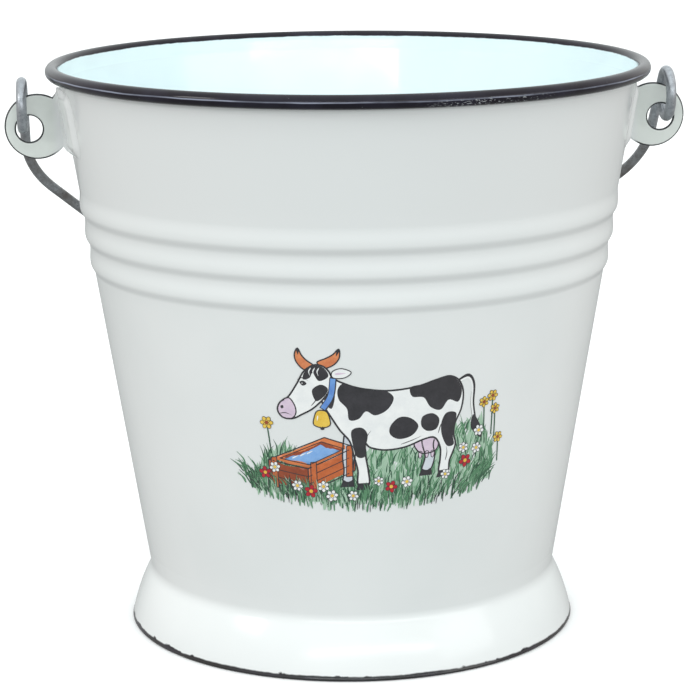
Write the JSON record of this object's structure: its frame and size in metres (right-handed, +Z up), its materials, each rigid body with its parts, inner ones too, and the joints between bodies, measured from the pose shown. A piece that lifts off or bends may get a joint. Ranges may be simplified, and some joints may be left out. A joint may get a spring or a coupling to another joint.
{
  "type": "milk pail",
  "caption": "Tapered enamelled steel milk pail with raised beads, dark rolled rim, flared foot, plate ears and a swinging wire bail with a turned wooden grip.",
  "frame": {"origin": "centre of the circle that the foot stands on", "axes": "+Z up through the pail, +X from the left ear to the right ear, -Y towards the printed front; the bail at rest hangs on +Y"},
  "size_m": [0.33, 0.29, 0.2762],
  "materials": {
    "white_enamel": "gloss",
    "dark_enamel": "gloss",
    "galvanised_wire": "satin",
    "turned_wood": "satin",
    "fired_print": "gloss"
  },
  "bodies": {
    "pail": {"wall_shell": "white_enamel", "rim_roll": "dark_enamel", "rim_wire": "galvanised_wire", "bottom_pan": "white_enamel", "foot_ring": "white_enamel", "ear_left": "white_enamel", "ear_right": "white_enamel", "transfer_print": "fired_print"},
    "bail": {"bail_wire": "galvanised_wire"},
    "grip": {"grip": "turned_wood"}
  },
  "joints": [
    {"name": "bail_swing", "type": "hinge", "parent": "pail", "child": "bail", "pos_m": [0, 0, 0.2567], "axis": [1, 0, 0], "range_deg": [0, 250]},
    {"name": "grip_spin", "type": "hinge", "parent": "bail", "child": "grip", "pos_m": [0, 0.12789, 0.12256], "axis": [1, 0, 0], "continuous": true}
  ]
}
